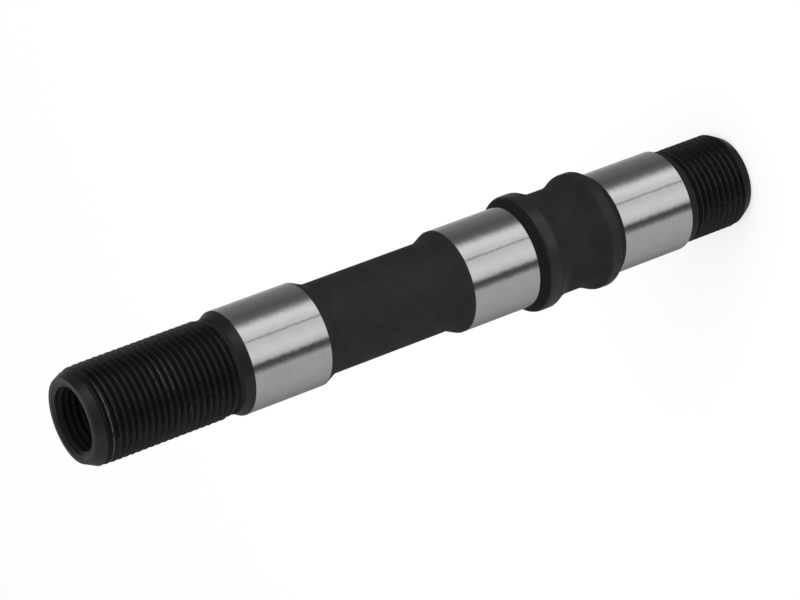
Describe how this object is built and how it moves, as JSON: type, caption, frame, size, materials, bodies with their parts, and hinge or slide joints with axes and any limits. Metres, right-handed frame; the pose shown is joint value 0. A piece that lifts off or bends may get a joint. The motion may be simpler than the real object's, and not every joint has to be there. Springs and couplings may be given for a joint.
{
  "type": "bicycle hub axle",
  "caption": "Hollow turned hub axle with fine threaded ends, ground bearing seats of one diameter, a slim waist and a spool of raised collars.",
  "frame": {"origin": "centre of the short threaded end's face, the end that the axle stands on", "axes": "+Z along the axle, from the short threaded end up to the long threaded end; X and Y are across it and alike"},
  "size_m": [0.0172, 0.0172, 0.1106],
  "materials": {
    "axle_steel": "black phosphate on the threads, waist and collars, bare ground steel on the bearing seats"
  },
  "bodies": {
    "root": {"axle": "axle_steel"}
  },
  "joints": []
}
